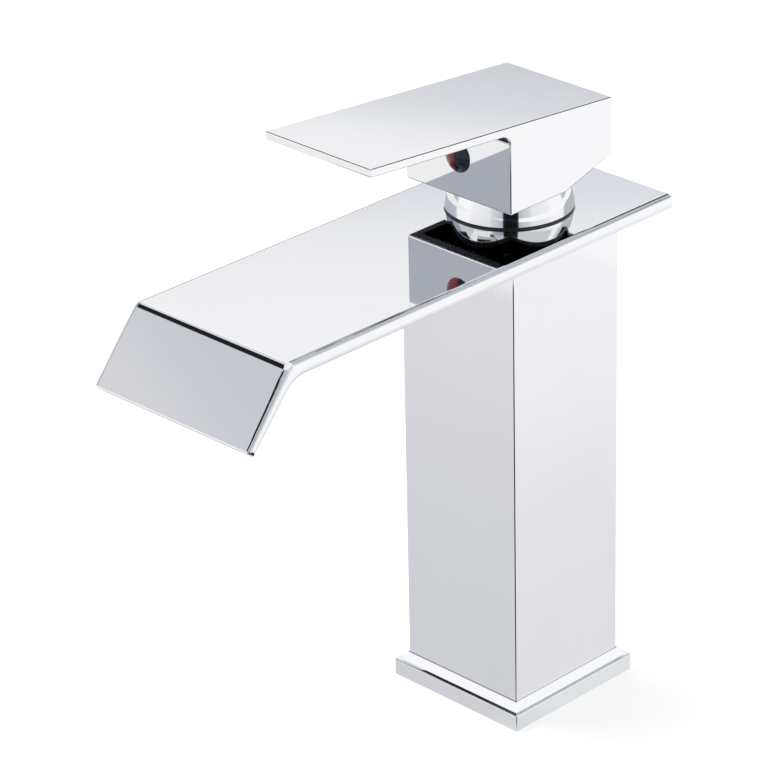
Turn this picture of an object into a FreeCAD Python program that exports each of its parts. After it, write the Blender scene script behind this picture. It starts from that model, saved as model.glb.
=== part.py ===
import FreeCAD, Part
import math
import os
import Sketcher
from FreeCAD import Placement, Rotation, Vector

# Single-lever waterfall basin mixer.
# Millimetres, +Z up. The spout points to -Y and the part is symmetric about X = 0.
# The origin is the centre of the foot, on the surface that the mixer stands on.

doc = FreeCAD.newDocument("waterfall_basin_mixer")
dims = doc.addObject("Spreadsheet::Sheet", "dims")

SIZES = [
    # column and foot
    ("column_width", 42.0, "square outside of the column"),
    ("column_wall", 2.2, "cast wall of the hollow shaft"),
    ("column_edge", 0.5, "rounding of the upright edges"),
    ("flange_margin", 3.0, "foot flange beyond the column, all round"),
    ("flange_rim", 4.9, "height of the upright rim"),
    ("flange_ledge", 1.25, "flat ledge inside the rim"),
    ("flange_band", 2.3, "height of the sloped band"),
    ("flange_slope", 30.0, "lean of the band from upright, degrees"),
    ("flange_edge", 0.45, "rounding of the rim"),
    ("flange_floor", 2.0, "web that the column stands on"),
    ("foot_opening", 36.0, "hole for hoses and stud"),
    ("foot_seal", 1.5, "thickness of the foot gasket"),
    ("foot_seal_margin", 0.5, "foot gasket beyond the column, all round"),
    ("assembly_gap", 0.1, "gap round seated parts"),
    # spout
    ("spout_top", 146.5, "height of the top face"),
    ("spout_thickness", 4.6, "thickness of the flat box"),
    ("spout_width", 58.4, "across the flat spout"),
    ("spout_back", 34.0, "rear edge behind the column axis"),
    ("spout_bend", 110.9, "bend line in front of the column axis"),
    ("lip_run", 15.5, "lip reach beyond the bend line"),
    ("lip_drop", 19.1, "lip fall below the top face"),
    ("lip_root", 4.4, "lip thickness at the bend"),
    ("lip_tip", 2.9, "lip thickness at the outlet"),
    ("lip_edge", 0.6, "rounding of the lip's lower edge"),
    ("bend_top", 3.2, "outer bend radius"),
    ("bend_under", 9.0, "inner bend radius"),
    ("edge_flat", 0.1, "half of the flat left between the edge roundings"),
    ("spout_skin", 1.1, "top wall of the spout"),
    ("lip_skin", 0.8, "wall of the lip"),
    ("side_wall", 4.0, "side wall of the spout"),
    ("back_wall", 14.0, "solid rear of the spout"),
    ("floor_ledge", 1.0, "underside plate beyond the water way"),
    ("floor_thickness", 1.2, "wall of the underside plate"),
    ("floor_gap", 0.05, "gap round the underside plate"),
    ("collar_wall", 1.4, "ring wall round the neck"),
    # head of the body
    ("neck_height", 4.1, "neck above the spout"),
    ("neck_wall", 1.5, "wall of the threaded neck"),
    ("neck_gap", 0.05, "slip gap of parts over the neck"),
    ("chamber_gap", 0.1, "gap round the cartridge"),
    ("nut_land", 0.9, "nut thread wider than the chamber"),
    ("port_x", 5.4, "hot and cold ports, sideways"),
    ("port_y", 3.6, "hot and cold ports, behind the axis"),
    ("port_radius", 2.2, "hot and cold ports"),
    ("port_web", 10.0, "between the chamber and the hose sockets"),
    ("outlet_y", 5.6, "mixed port, in front of the axis"),
    ("outlet_radius", 2.8, "mixed port"),
    ("hose_x", 8.0, "hose sockets, sideways"),
    ("hose_radius", 4.5, "hose socket wall, M10 fine thread"),
    ("hose_depth", 12.0, "length of the hose sockets"),
    ("riser_width", 24.0, "slot that feeds the spout"),
    ("riser_depth", 2.6, "slot that feeds the spout"),
    ("riser_inset", 0.2, "between the collar and the riser"),
    ("crossway_roof", 4.0, "between the chamber and the mixed water way"),
    ("crossway_height", 4.0, "height of the mixed water way"),
    ("crossway_width", 8.0, "width of the mixed water way"),
    ("seal_sheet", 1.0, "gasket under the spout"),
    ("seal_rim", 0.7, "column rim outside that gasket"),
    ("stud_y", 14.0, "stud behind the axis"),
    ("stud_radius", 3.4, "stud socket wall, M8 thread"),
    ("stud_boss", 11.0, "width of the stud boss"),
    ("stud_depth", 12.0, "height of the stud boss"),
    # cartridge
    ("pivot_sink", 0.3, "lever pivot below the top of the spout"),
    ("lean_closed", 12.5, "stem leans forward when shut, degrees"),
    ("arm_length", 8.0, "pivot to ball centre"),
    ("arm_radius", 1.9, "arm above the ball"),
    ("ball_radius", 2.5, "ball of the stem"),
    ("ball_gap", 0.08, "play of the ball in its socket"),
    ("ball_floor_gap", 0.3, "below the ball"),
    ("cartridge_radius", 12.5, "cartridge outside"),
    ("cartridge_shoulder", 2.3, "shoulder under the nut"),
    ("housing_wall", 1.6, "wall of the cartridge"),
    ("housing_lip", 2.6, "height of the lip that holds the rotor"),
    ("barrel_height", 7.0, "cartridge barrel above its shoulder"),
    ("nut_height", 5.8, "ring nut"),
    ("notch_width", 3.0, "key slots of the ring nut"),
    ("notch_depth", 1.8, "key slots of the ring nut"),
    ("ring_section", 0.62, "housing seal ring, section radius"),
    ("ring_rise", 4.4, "housing seal ring above the cartridge base"),
    ("seal_thickness", 1.2, "port seals"),
    ("seal_proud", 0.2, "port seals stand proud"),
    ("seal_width", 1.0, "ring width of the port seals"),
    ("base_height", 6.4, "cartridge base"),
    ("base_rim", 1.8, "rim round the fixed disc"),
    ("base_rim_wall", 1.05, "rim round the fixed disc"),
    ("disc_thickness", 3.2, "fixed ceramic disc"),
    ("slider_radius", 7.8, "moving ceramic disc"),
    ("slider_thickness", 3.0, "moving ceramic disc"),
    ("mixing_width", 6.4, "mixing hollow of the moving disc"),
    ("mixing_length", 8.4, "mixing hollow of the moving disc"),
    ("mixing_depth", 1.8, "mixing hollow of the moving disc"),
    ("carrier_floor", 0.6, "carrier below the ball socket"),
    ("carrier_hold", 2.2, "carrier above the ball centre"),
    ("carrier_radius", 8.2, "carrier"),
    ("carrier_flat", 13.0, "across the guide flats"),
    ("carrier_gap", 0.3, "between the carrier and the rotor"),
    ("rotor_gap", 0.1, "running gap of rotor and carrier"),
    ("rotor_flange", 2.2, "thickness of the rotor flange"),
    ("rotor_rise", 0.8, "rotor above the barrel"),
    ("lug_height", 3.7, "guide lugs under the rotor"),
    ("lug_width", 8.0, "guide lugs, along the travel"),
    ("lug_inset", 1.3, "guide lugs inside the housing"),
    ("stop_ring_height", 1.2, "temperature stop ring"),
    ("stop_ring_width", 1.8, "temperature stop ring"),
    ("pin_radius", 1.25, "pivot pin"),
    ("pin_inset", 0.5, "pivot pin ends inside the rotor"),
    ("pin_gap", 0.03, "play at the pin"),
    ("stem_width", 6.0, "square stem"),
    ("stem_length", 27.0, "stem above the pivot"),
    ("stem_slot", 10.8, "rotor slot, along the travel"),
    ("stem_gap", 0.1, "gap beside the stem in the rotor"),
    ("eye_margin", 0.4, "stem eye beyond the square"),
    # dome cap
    ("dome_radius", 18.0, "outside of the dome cap"),
    ("dome_wall", 1.6, "wall of the dome cap"),
    ("dome_ring_height", 0.6, "ring under the dome cap"),
    ("dome_ring_inset", 0.15, "ring inside the dome's edge"),
    ("dome_mouth", 9.3, "top opening radius"),
    ("dome_step", 0.4, "inside ledge above the neck"),
    # handle, with its heights above the top of the spout
    ("lever_width", 38.8, "lever and hub across"),
    ("lever_front", 71.6, "lever tip in front of the axis"),
    ("lever_back", 20.0, "rear face behind the axis"),
    ("tip_rise", 37.9, "top of the lever tip"),
    ("back_rise", 30.4, "top of the rear edge"),
    ("lever_thickness", 2.4, "lever plate"),
    ("lever_edge", 0.5, "rounding of the handle edges"),
    ("hub_front", 20.0, "hub front face in front of the axis"),
    ("hub_rise", 8.4, "hub underside"),
    ("hub_flat", 1.6, "level underside ends behind the axis"),
    ("hub_rear_rise", 14.0, "lower end of the rear face"),
    ("hub_fillet", 3.0, "hollow where lever and hub meet"),
    ("hub_roof", 3.2, "casting wall above the hub hollow"),
    ("dome_clearance", 1.0, "handle casting clear of the dome cap"),
    ("block_wall", 3.2, "grip block beside the stem"),
    ("block_back", 3.6, "grip block behind the axis"),
    ("block_step", 12.2, "grip block steps down in front of this"),
    ("block_skirt", 3.8, "height of that step"),
    ("block_sink", 1.0, "grip block run into the casting walls"),
    ("socket_gap", 0.04, "gap of the stem in the handle"),
    ("socket_end", 0.4, "gap above the stem"),
    ("screw_radius", 2.5, "set screw, M5"),
    ("screw_gap", 0.02, "set screw thread gap"),
    ("screw_length", 7.5, "set screw"),
    ("screw_station", 23.7, "set screw above the pivot, on the stem"),
    ("screw_bore", 14.0, "length of its threaded bore"),
    ("screw_hex", 2.5, "across flats of its socket"),
    ("screw_hex_depth", 2.5, "depth of its socket"),
    ("plug_radius", 4.6, "indicator plug"),
    ("plug_rise", 20.2, "indicator plug centre"),
    ("plug_seat", 3.0, "depth of the plug seat"),
    ("plug_skirt", 1.2, "depth of the plug carrier"),
    ("plug_crown", 1.5, "rise of the plug face"),
    ("plug_gap", 0.05, "gap round the plug"),
]

DERIVED = [
    ("flange_width", "=column_width + 2 * flange_margin"),
    ("foot_seal_width", "=column_width + 2 * foot_seal_margin"),
    ("column_bottom", "=foot_seal + flange_floor"),
    ("column_top", "=spout_top - spout_thickness"),
    ("spout_edge", "=spout_thickness / 2 - edge_flat"),
    ("lip_angle", "=atan(lip_drop / lip_run)"),
    ("lip_length", "=sqrt(lip_run ^ 2 + lip_drop ^ 2)"),
    ("channel_width", "=spout_width - 2 * side_wall"),
    ("channel_back", "=spout_back - back_wall"),
    ("floor_width", "=channel_width + 2 * floor_ledge"),
    ("floor_back", "=channel_back + 2 * floor_ledge"),
    ("chamber_radius", "=cartridge_radius + chamber_gap"),
    ("nut_radius", "=chamber_radius + nut_land"),
    ("neck_radius", "=nut_radius + neck_wall"),
    ("neck_top", "=spout_top + neck_height"),
    ("collar_radius", "=neck_radius + neck_gap + collar_wall"),
    ("riser_back", "=collar_radius + riser_inset"),
    ("riser_front", "=riser_back + riser_depth"),
    ("pivot_height", "=spout_top - pivot_sink"),
    ("socket_floor", "=pivot_height - arm_length - ball_radius - ball_floor_gap"),
    ("slider_top", "=socket_floor - carrier_floor"),
    ("disc_top", "=slider_top - slider_thickness"),
    ("base_top", "=disc_top - disc_thickness"),
    ("base_bottom", "=base_top - base_height"),
    ("chamber_floor", "=base_bottom - seal_proud"),
    ("socket_top", "=chamber_floor - port_web"),
    ("head_bottom", "=socket_top - hose_depth"),
    ("crossway_top", "=chamber_floor - crossway_roof"),
    ("crossway_floor", "=crossway_top - crossway_height"),
    ("carrier_top", "=pivot_height - arm_length + carrier_hold"),
    ("rotor_bottom", "=carrier_top + carrier_gap"),
    ("rotor_shoulder", "=rotor_bottom + rotor_flange"),
    ("lip_height", "=rotor_shoulder + rotor_gap"),
    ("nut_seat", "=lip_height + housing_lip"),
    ("barrel_top", "=nut_seat + barrel_height"),
    ("nut_top", "=nut_seat + nut_height"),
    ("rotor_top", "=barrel_top + rotor_rise"),
    ("barrel_radius", "=cartridge_radius - cartridge_shoulder"),
    ("bore_radius", "=cartridge_radius - housing_wall"),
    ("lip_bore", "=barrel_radius - housing_wall"),
    ("rotor_radius", "=lip_bore - rotor_gap"),
    ("rim_outer", "=bore_radius - rotor_gap"),
    ("rim_inner", "=rim_outer - base_rim_wall"),
    ("disc_radius", "=rim_inner - rotor_gap"),
    ("ring_radius", "=chamber_radius - ring_section - pin_gap"),
    ("pin_length", "=2 * (rotor_radius - pin_inset)"),
    ("ball_back", "=arm_length * sin(lean_closed * 1 deg)"),
    ("dome_foot", "=spout_top + dome_ring_height"),
    ("dome_reach", "=dome_radius + dome_clearance"),
    ("hub_bottom", "=spout_top + hub_rise"),
    ("hub_rear", "=spout_top + hub_rear_rise"),
    ("hub_hollow", "=sqrt(dome_reach ^ 2 - (hub_bottom - pivot_height) ^ 2)"),
    ("lever_tip_height", "=spout_top + tip_rise"),
    ("lever_back_height", "=spout_top + back_rise"),
    ("lever_slope", "=(tip_rise - back_rise) / (lever_front + lever_back)"),
    ("block_width", "=stem_width + 2 * block_wall"),
    ("block_bottom", "=pivot_height + dome_reach"),
    ("block_low", "=block_bottom - block_skirt"),
    ("stem_seat", "=stem_length + socket_end"),
    ("plug_height", "=spout_top + plug_rise"),
]

for row, (alias, number, note) in enumerate(SIZES, 1):
    dims.set("A%d" % row, alias)
    dims.set("B%d" % row, repr(number))
    dims.set("C%d" % row, note)
    dims.setAlias("B%d" % row, alias)
for row, (alias, formula) in enumerate(DERIVED, len(SIZES) + 2):
    dims.set("A%d" % row, alias)
    dims.set("B%d" % row, formula)
    dims.setAlias("B%d" % row, alias)
doc.recompute()

PARTS = []


# ---------------------------------------------------------------- helpers

def size(expression):
    """Value of an expression in the sheet's names."""
    result = dims.evalExpression(expression)
    return float(getattr(result, "Value", result))


def bound(expression):
    """The same expression, written for objects outside the sheet."""
    words = {alias for alias, *_ in SIZES} | {alias for alias, _ in DERIVED}
    out, word = [], ""
    for letter in expression + " ":
        if letter.isalnum() or letter == "_":
            word += letter
            continue
        out.append("dims." + word if word in words else word)
        out.append(letter)
        word = ""
    return "".join(out).strip()


def bind(item, **properties):
    """Bind properties of an object to expressions."""
    for name, expression in properties.items():
        item.setExpression(name, bound(expression))


def new_body(label):
    body = doc.addObject("PartDesign::Body", label)
    body.Label = label
    PARTS.append(body)
    return body


def sketch(body, name, plane="XY_Plane", level="0"):
    """Sketch on an origin plane, raised by level along the plane's normal."""
    item = body.newObject("Sketcher::SketchObject", name)
    support = [f for f in body.Origin.OriginFeatures if f.Role == plane][0]
    item.AttachmentSupport = [(support, "")]
    item.MapMode = "FlatFace"
    if level != "0":
        item.setExpression(".AttachmentOffset.Base.z", bound(level))
    return item


def place(item, geometry, point, across, up):
    """Fix one point of a sketch at two expressions."""
    for kind, axis, expression in (("DistanceX", -2, across), ("DistanceY", -1, up)):
        if expression == "0":
            item.addConstraint(Sketcher.Constraint("PointOnObject", geometry, point, axis))
            continue
        index = item.addConstraint(
            Sketcher.Constraint(kind, -1, 1, geometry, point, size(expression)))
        item.setExpression("Constraints[%d]" % index, bound(expression))


def polygon(item, corners):
    """Closed outline through corners, each a pair of expressions."""
    points = [Vector(size(across), size(up), 0) for across, up in corners]
    first = item.GeometryCount
    count = len(points)
    for i in range(count):
        item.addGeometry(Part.LineSegment(points[i], points[(i + 1) % count]), False)
    for i in range(count):
        item.addConstraint(
            Sketcher.Constraint("Coincident", first + i, 2, first + (i + 1) % count, 1))
    for i, (across, up) in enumerate(corners):
        place(item, first + i, 1, across, up)


def rectangle(item, left, bottom, right, top):
    polygon(item, [(left, bottom), (right, bottom), (right, top), (left, top)])


def square(item, width):
    half = "(%s) / 2" % width
    rectangle(item, "-" + half, "-" + half, half, half)


def domed(item, corners, axis):
    """Closed outline through corners; an arc centred on the axis leads from the last to the first.

    The arc runs anticlockwise. axis is -1 for the sketch's level axis, -2 for its upright one.
    """
    points = [Vector(size(across), size(up), 0) for across, up in corners]
    first, last = points[0], points[-1]
    chord = last - first
    share = (last + first).dot(chord) / 2
    middle = (Vector(share / chord.x, 0, 0) if axis == -1 else Vector(0, share / chord.y, 0))
    for start, end in zip(points, points[1:]):
        item.addGeometry(Part.LineSegment(start, end), False)
    arc = item.addGeometry(Part.ArcOfCircle(
        Part.Circle(middle, Vector(0, 0, 1), (first - middle).Length),
        math.atan2(last.y - middle.y, last.x - middle.x),
        math.atan2(first.y - middle.y, first.x - middle.x) % (2 * math.pi)), False)
    for line in range(arc):
        item.addConstraint(Sketcher.Constraint("Coincident", line, 2, line + 1, 1))
    item.addConstraint(Sketcher.Constraint("Coincident", arc, 2, 0, 1))
    item.addConstraint(Sketcher.Constraint("PointOnObject", arc, 3, axis))
    for line, (across, up) in enumerate(corners):
        place(item, line, 1, across, up)


def circle(item, radius, across="0", up="0"):
    centre = Vector(size(across), size(up), 0)
    index = item.addGeometry(Part.Circle(centre, Vector(0, 0, 1), size(radius)), False)
    place(item, index, 3, across, up)
    datum = item.addConstraint(Sketcher.Constraint("Radius", index, size(radius)))
    item.setExpression("Constraints[%d]" % datum, bound(radius))


def feature(body, kind, name, profile, **properties):
    item = body.newObject("PartDesign::" + kind, name)
    item.Profile = profile
    profile.Visibility = False
    bind(item, **properties)
    return item


def pad(body, name, profile, length, both_ways=False):
    item = feature(body, "Pad", name, profile, Length=length)
    item.Midplane = both_ways
    return item


def cut(body, name, profile, length, both_ways=False, upward=False):
    """Pocket that goes down from its sketch, or up, or both ways."""
    item = feature(body, "Pocket", name, profile, Length=length)
    item.Midplane = both_ways
    item.Reversed = upward
    return item


def turn(body, name, profile, kind="Revolution"):
    item = feature(body, kind, name, profile)
    item.ReferenceAxis = (profile, ["V_Axis"])
    item.Angle = 360
    return item


def edges(shape, test):
    """Names of the edges whose middle point passes a test."""
    names = []
    for index, edge in enumerate(shape.Edges, 1):
        middle = edge.valueAt((edge.FirstParameter + edge.LastParameter) / 2)
        if test(middle, edge):
            names.append("Edge%d" % index)
    return names


def round_edges(body, name, test, radius, kind="Fillet"):
    doc.recompute()
    base = body.Tip
    item = body.newObject("PartDesign::" + kind, name)
    item.Base = (base, edges(base.Shape, test))
    bind(item, **({"Radius": radius} if kind == "Fillet" else {"Size": radius}))
    return item


def upright(middle, edge):
    ends = [vertex.Point for vertex in edge.Vertexes]
    return len(ends) == 2 and (ends[0] - ends[1]).cross(Vector(0, 0, 1)).Length < 1e-6


# ---------------------------------------------------------------- foot

def base_flange():
    """Square rosette with a rim, a ledge and a sloped band round the column."""
    body = new_body("base_flange")
    rim = sketch(body, "rim")
    square(rim, "flange_width")
    pad(body, "rim_pad", rim, "flange_rim")
    round_edges(body, "rim_corners", upright, "flange_edge")
    band = sketch(body, "band", level="flange_rim")
    square(band, "flange_width - 2 * flange_ledge")
    slope = pad(body, "band_pad", band, "flange_band")
    bind(slope, TaperAngle="-flange_slope")
    round_edges(
        body, "rim_edge",
        lambda m, e: abs(m.z - size("flange_rim")) < 1e-4
        and max(abs(m.x), abs(m.y)) > size("flange_width / 2 - flange_edge"),
        "flange_edge")
    seat = sketch(body, "seat", level="column_bottom")
    square(seat, "column_width + 2 * assembly_gap")
    cut(body, "seat_cut", seat, "flange_rim + flange_band", upward=True)
    recess = sketch(body, "recess")
    square(recess, "foot_seal_width + 2 * assembly_gap")
    cut(body, "recess_cut", recess, "foot_seal", upward=True)
    opening = sketch(body, "opening")
    circle(opening, "foot_opening / 2")
    cut(body, "opening_cut", opening, "column_bottom", upward=True)


def base_gasket():
    """Rubber sheet in the foot's recess, flush with the rim."""
    body = new_body("base_gasket")
    sheet = sketch(body, "sheet")
    square(sheet, "foot_seal_width")
    circle(sheet, "foot_opening / 2")
    pad(body, "sheet_pad", sheet, "foot_seal")


# ---------------------------------------------------------------- column

def column_body():
    """Cast body: hollow square shaft, solid head with the cartridge chamber, neck."""
    body = new_body("column_body")
    shaft = sketch(body, "shaft", level="column_bottom")
    square(shaft, "column_width")
    pad(body, "shaft_pad", shaft, "column_top - column_bottom")
    round_edges(body, "shaft_edges", upright, "column_edge")
    neck = sketch(body, "neck", level="column_top")
    circle(neck, "neck_radius")
    pad(body, "neck_pad", neck, "neck_top - column_top")

    hollow = sketch(body, "hollow", level="column_bottom")
    square(hollow, "column_width - 2 * column_wall")
    cut(body, "hollow_cut", hollow, "head_bottom - column_bottom", upward=True)
    boss = sketch(body, "stud_boss", level="column_bottom")
    rectangle(boss, "-stud_boss / 2", "stud_y - stud_boss / 2",
              "stud_boss / 2", "column_width / 2 - column_wall / 2")
    pad(body, "stud_boss_pad", boss, "stud_depth")
    stud = sketch(body, "stud_hole", level="column_bottom")
    circle(stud, "stud_radius", "0", "stud_y")
    cut(body, "stud_hole_cut", stud, "stud_depth", upward=True)

    mouth = sketch(body, "mouth", level="neck_top")
    circle(mouth, "nut_radius")
    cut(body, "mouth_cut", mouth, "neck_top - nut_seat")
    chamber = sketch(body, "chamber", level="neck_top")
    circle(chamber, "chamber_radius")
    cut(body, "chamber_cut", chamber, "neck_top - chamber_floor")

    for side, name in (("-", "hot"), ("", "cold")):
        socket = sketch(body, name + "_socket", level="head_bottom")
        circle(socket, "hose_radius", side + "hose_x", "port_y")
        cut(body, name + "_socket_cut", socket, "hose_depth", upward=True)
        port = sketch(body, name + "_port", level="chamber_floor")
        circle(port, "port_radius", side + "port_x", "port_y")
        cut(body, name + "_port_cut", port, "port_web")

    well = sketch(body, "well", level="chamber_floor")
    circle(well, "outlet_radius", "0", "-outlet_y")
    cut(body, "well_cut", well, "chamber_floor - crossway_floor")
    crossway = sketch(body, "crossway", level="crossway_top")
    rectangle(crossway, "-crossway_width / 2", "-riser_front",
              "crossway_width / 2", "-outlet_y")
    cut(body, "crossway_cut", crossway, "crossway_height")
    riser = sketch(body, "riser", level="column_top")
    rectangle(riser, "-riser_width / 2", "-riser_front", "riser_width / 2", "-riser_back")
    cut(body, "riser_cut", riser, "column_top - crossway_floor")

    seat = sketch(body, "seal_seat", level="column_top")
    square(seat, "column_width - 2 * seal_rim")
    circle(seat, "neck_radius")
    cut(body, "seal_seat_cut", seat, "seal_sheet")


def spout_gasket():
    """Flat seal between the body and the spout, with a slot for the riser."""
    body = new_body("spout_gasket")
    sheet = sketch(body, "sheet", level="column_top - seal_sheet")
    square(sheet, "column_width - 2 * seal_rim - 2 * assembly_gap")
    circle(sheet, "neck_radius + neck_gap")
    rectangle(sheet, "-riser_width / 2", "-riser_front", "riser_width / 2", "-riser_back")
    pad(body, "sheet_pad", sheet, "seal_sheet")


# ---------------------------------------------------------------- spout

def lip_point(along, depth):
    """Point along the lip from the bend line and below its top face, as expressions."""
    y = "-(spout_bend + (%s) * cos(lip_angle) - (%s) * sin(lip_angle))" % (along, depth)
    z = "spout_top - (%s) * sin(lip_angle) - (%s) * cos(lip_angle)" % (along, depth)
    return y, z


def bend_at(level, root, tip):
    """Corner where a level line meets a line along the lip, as expressions.

    root and tip are that line's depths below the lip's top face at its two ends.
    """
    y0, z0 = lip_point("0", root)
    y1, z1 = lip_point("lip_length", tip)
    share = "((%s) - (%s)) / ((%s) - (%s))" % (level, z0, z1, z0)
    return "(%s) + (%s) * ((%s) - (%s))" % (y0, share, y1, y0), level


def along_yz(name, corners):
    """Free sketch whose across is Y and whose up is Z."""
    item = doc.addObject("Sketcher::SketchObject", name)
    item.Placement = Placement(Vector(), Rotation(Vector(1, 1, 1), 120))
    polygon(item, corners)
    item.Visibility = False
    return item


def extrude(name, profile, width):
    """Solid of a side outline, equally to both sides of X = 0."""
    item = doc.addObject("Part::Extrusion", name)
    item.Base = profile
    item.DirMode = "Normal"
    item.Symmetric = True
    item.Solid = True
    bind(item, LengthFwd=width)
    return item


def soften(name, base, chosen):
    """Part fillet; chosen is a list of (edge test, radius).

    A radius is an expression, or a function that gives one for a point of the edge.
    """
    doc.recompute()
    item = doc.addObject("Part::Fillet", name)
    item.Base = base
    rounds = []
    for test, radius in chosen:
        for edge in edges(base.Shape, test):
            ends = base.Shape.getElement(edge).Vertexes
            first, last = [size(radius(v.Point) if callable(radius) else radius)
                           for v in (ends[0], ends[-1])]
            rounds.append((int(edge[4:]), first, last))
    item.Edges = rounds
    return item


def crease(corner):
    """Test for the cross edge at a corner of a side outline."""
    y, z = size(corner[0]), size(corner[1])
    return lambda m, e: math.hypot(m.y - y, m.z - z) < 1e-3 and e.Length > 10


def boolean(kind, name, base, tool):
    item = doc.addObject("Part::" + kind, name)
    item.Base = base
    item.Tool = tool
    return item


def cylinder(name, radius, bottom, height, y="0"):
    item = doc.addObject("Part::Cylinder", name)
    bind(item, Radius=radius, Height=height)
    item.setExpression(".Placement.Base.y", bound(y))
    item.setExpression(".Placement.Base.z", bound(bottom))
    return item


LIP_TOP = ("-spout_bend", "spout_top")
LIP_UNDER = bend_at("column_top", "lip_root", "lip_tip")
FLOOR_TOP = bend_at("column_top + floor_thickness", "lip_root - lip_skin", "lip_tip - lip_skin")
CHANNEL_TOP = bend_at("spout_top - spout_skin", "lip_skin", "lip_skin")
BEYOND = "lip_length + 4"


def spout_shell():
    """Flat box of the spout with its bent lip, open below for the underside plate."""
    outline = along_yz("spout_outline", [
        ("spout_back", "column_top"), LIP_UNDER, lip_point("lip_length", "lip_tip"),
        lip_point("lip_length", "0"), LIP_TOP, ("spout_back", "spout_top")])
    block = extrude("spout_block", outline, "spout_width")
    bent = soften("spout_bends", block, [
        (crease(LIP_TOP), "bend_top"), (crease(LIP_UNDER), "bend_under"),
        (crease(lip_point("lip_length", "0")), "lip_edge")])
    doc.recompute()
    half = size("spout_width / 2")
    middle_line = size("spout_top - spout_thickness / 2")
    root = Vector(0, size("-spout_bend"), size("spout_top"))
    fall = math.radians(size("lip_angle"))
    down = Vector(0, -math.cos(fall), -math.sin(fall))
    inward = Vector(0, math.sin(fall), -math.cos(fall))

    def on_lip(point):
        return (point - root).dot(down) > 0

    def half_round(point):
        """Nearly half of the thickness, which tapers along the lip."""
        if not on_lip(point):
            return "spout_edge"
        return "(lip_root + (lip_tip - lip_root) * %.6f / lip_length) / 2 - edge_flat" % (
            (point - root).dot(down))

    def rim(middle, edge):
        ends = [v.Point for v in edge.Vertexes]
        across_lip = (ends[0] - ends[-1]).dot(down)
        side = all(abs(abs(p.x) - half) < 1e-3 for p in ends + [middle])
        flat = all(not on_lip(p) for p in ends)
        return side and not upright(middle, edge) and (flat or abs(across_lip) > 1)

    def above(middle):
        if not on_lip(middle):
            return middle.z > middle_line
        return (middle - root).dot(inward) < size("lip_tip / 2")

    top = soften("spout_top_rounds", bent, [
        (lambda m, e: rim(m, e) and above(m), half_round)])
    under = soften("spout_under_rounds", bent, [
        (lambda m, e: rim(m, e) and not above(m), half_round)])
    outside = doc.addObject("Part::MultiCommon", "spout_outside")
    outside.Shapes = [top, under]

    way = along_yz("channel_outline", [
        ("channel_back", "spout_top - spout_skin"), CHANNEL_TOP,
        lip_point(BEYOND, "lip_skin"), lip_point(BEYOND, "lip_root + 4"),
        ("-spout_bend + 4", "column_top - 4"), ("channel_back", "column_top - 4")])
    way_block = extrude("channel_block", way, "channel_width")
    way_bent = soften("channel_bend", way_block, [(crease(CHANNEL_TOP), "bend_top - spout_skin")])
    collar = cylinder("collar_core", "collar_radius",
                      "column_top - 5", "spout_thickness + 10")
    way_open = boolean("Cut", "channel_tool", way_bent, collar)

    seat = along_yz("floor_seat_outline", [
        ("floor_back + floor_gap", "column_top + floor_thickness"), FLOOR_TOP,
        lip_point(BEYOND, "lip_tip - lip_skin - (lip_root - lip_tip) * 4 / lip_length"),
        lip_point(BEYOND, "lip_root + 4"), ("-spout_bend + 4", "column_top - 4"),
        ("floor_back + floor_gap", "column_top - 4")])
    seat_block = extrude("floor_seat_block", seat, "floor_width + 2 * floor_gap")
    seat_bent = soften("floor_seat_tool", seat_block, [
        (crease(FLOOR_TOP), "bend_under + floor_thickness")])
    neck_hole = cylinder("spout_neck_hole", "neck_radius + neck_gap",
                         "column_top - 1", "spout_thickness + 2")
    hollow = doc.addObject("Part::MultiFuse", "spout_hollow")
    hollow.Shapes = [way_open, seat_bent, neck_hole]
    shell = boolean("Cut", "spout_shell", outside, hollow)
    PARTS.append(shell)


def spout_floor():
    """Underside plate that closes the water way and leaves the outlet slot."""
    outline = along_yz("floor_outline", [
        ("floor_back", "column_top"), LIP_UNDER, lip_point("lip_length", "lip_tip"),
        lip_point("lip_length", "lip_tip - lip_skin"), FLOOR_TOP,
        ("floor_back", "column_top + floor_thickness")])
    block = extrude("floor_block", outline, "floor_width")
    bent = soften("floor_bends", block, [
        (crease(LIP_UNDER), "bend_under"), (crease(FLOOR_TOP), "bend_under + floor_thickness")])
    hole = cylinder("floor_neck_hole", "neck_radius + neck_gap",
                    "column_top - 1", "floor_thickness + 2")
    slot = doc.addObject("Part::Box", "floor_riser_slot")
    bind(slot, Length="riser_width", Width="riser_depth", Height="floor_thickness + 2")
    slot.setExpression(".Placement.Base.x", bound("-riser_width / 2"))
    slot.setExpression(".Placement.Base.y", bound("-riser_front"))
    slot.setExpression(".Placement.Base.z", bound("column_top - 1"))
    holes = doc.addObject("Part::MultiFuse", "floor_holes")
    holes.Shapes = [hole, slot]
    plate = boolean("Cut", "spout_floor", bent, holes)
    PARTS.append(plate)


# ---------------------------------------------------------------- cartridge, fixed

def port_rings(label, level, thickness):
    """Three rubber rings round the hot, cold and mixed ports."""
    body = new_body(label)
    rings = sketch(body, "rings", level=level)
    for across, up, radius in (("-port_x", "port_y", "port_radius"),
                               ("port_x", "port_y", "port_radius"),
                               ("0", "-outlet_y", "outlet_radius")):
        circle(rings, radius, across, up)
        circle(rings, radius + " + seal_width", across, up)
    pad(body, "rings_pad", rings, thickness)


def ports(item, grow="0"):
    circle(item, "port_radius + " + grow, "-port_x", "port_y")
    circle(item, "port_radius + " + grow, "port_x", "port_y")
    circle(item, "outlet_radius + " + grow, "0", "-outlet_y")


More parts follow.
